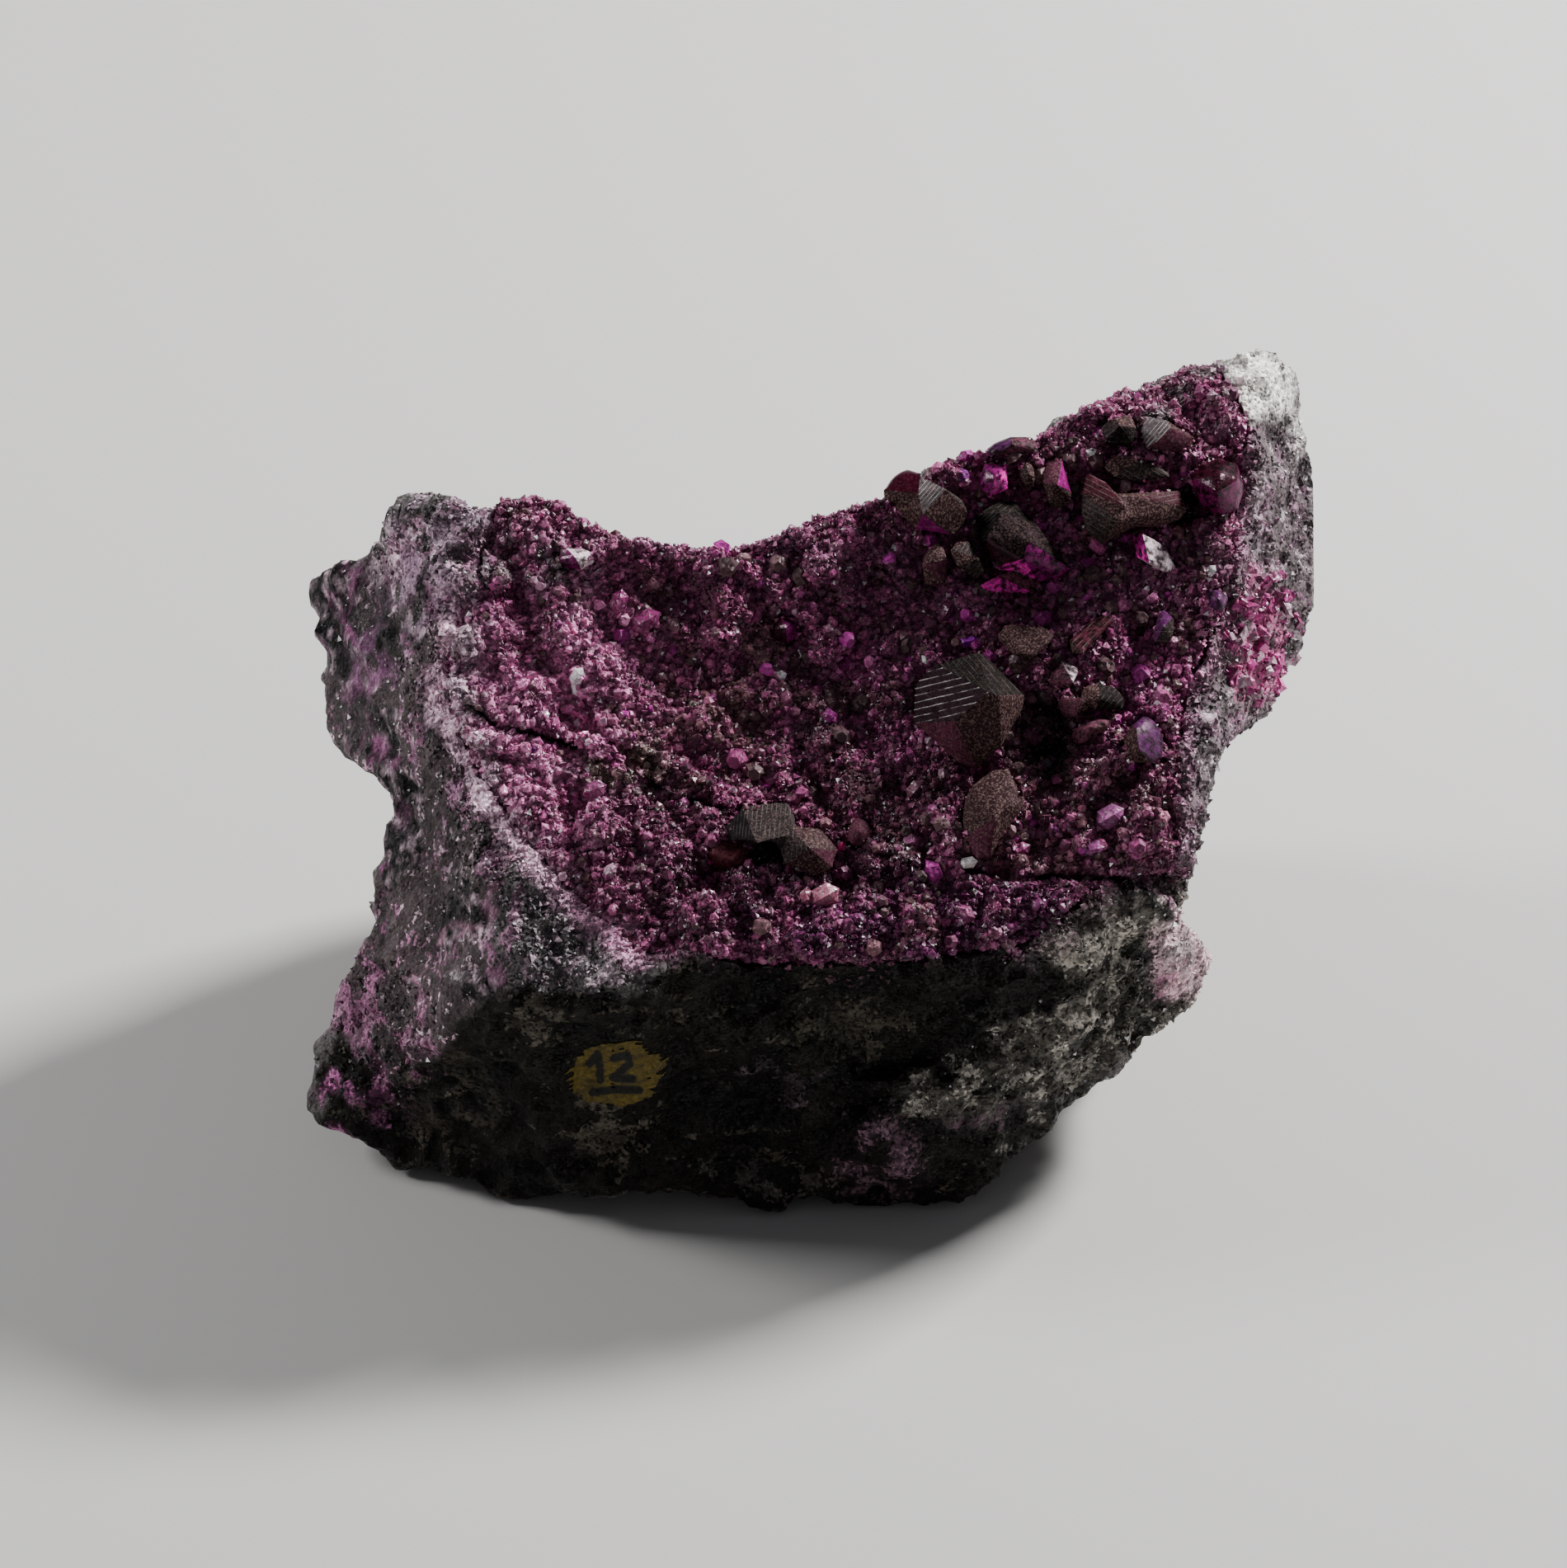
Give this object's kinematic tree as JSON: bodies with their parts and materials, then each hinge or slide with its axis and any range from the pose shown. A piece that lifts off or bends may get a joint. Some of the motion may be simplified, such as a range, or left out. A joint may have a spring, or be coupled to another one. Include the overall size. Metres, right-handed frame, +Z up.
{
  "type": "kammererite mineral specimen",
  "caption": "Broken block of dark chromite ore with a shallow sloping pocket lined by a sugary purple crust, from which larger flat-faced kammererite crystals stand out.",
  "frame": {"origin": "on the resting surface, under the middle of the specimen's box", "axes": "+Z up, +X to the right along the longest side, -Y towards the viewer who faces the pocket"},
  "size_m": [0.0982, 0.0626, 0.0634],
  "materials": {
    "rock": "rough broken chromite ore with grey and pink crusts",
    "crust": "sparkling sugary crystals",
    "frosted": "frosted crystal faces, striped in places",
    "wine": "clear dark wine red crystal",
    "magenta": "clear magenta crystal",
    "violet": "cloudy violet crystal"
  },
  "bodies": {
    "root": {"host_rock": "rock", "druse_crust": "crust", "crystal_rim_pair": "frosted", "crystal_blade": "wine", "crystal_kite": "frosted", "crystal_shield": "frosted", "crystal_clear_rhomb": "magenta", "crystal_left_of_split": "frosted", "crystal_right_of_split": "frosted", "crystal_rim_lump": "violet", "crystal_dark_hex": "frosted", "crystal_bright_striped": "frosted", "crystal_flat_plate": "frosted", "crystal_stepped_big": "frosted", "crystal_wine_hexagon": "wine", "crystal_two_tone": "magenta", "crystal_violet_point": "violet", "crystal_three_faced": "frosted", "crystal_polygon": "frosted", "crystal_white_triangle": "violet", "crystal_double_hex": "frosted", "crystal_rosy_lump": "violet", "crystal_parallel_blades": "violet", "crystal_small_point": "frosted", "crystal_violet_split": "violet", "crystal_two_blades": "frosted", "crystal_three_lobes": "frosted", "crystal_low_lump": "frosted", "crystal_wine_pair": "wine", "crystal_pink_white": "magenta"}
  },
  "joints": []
}
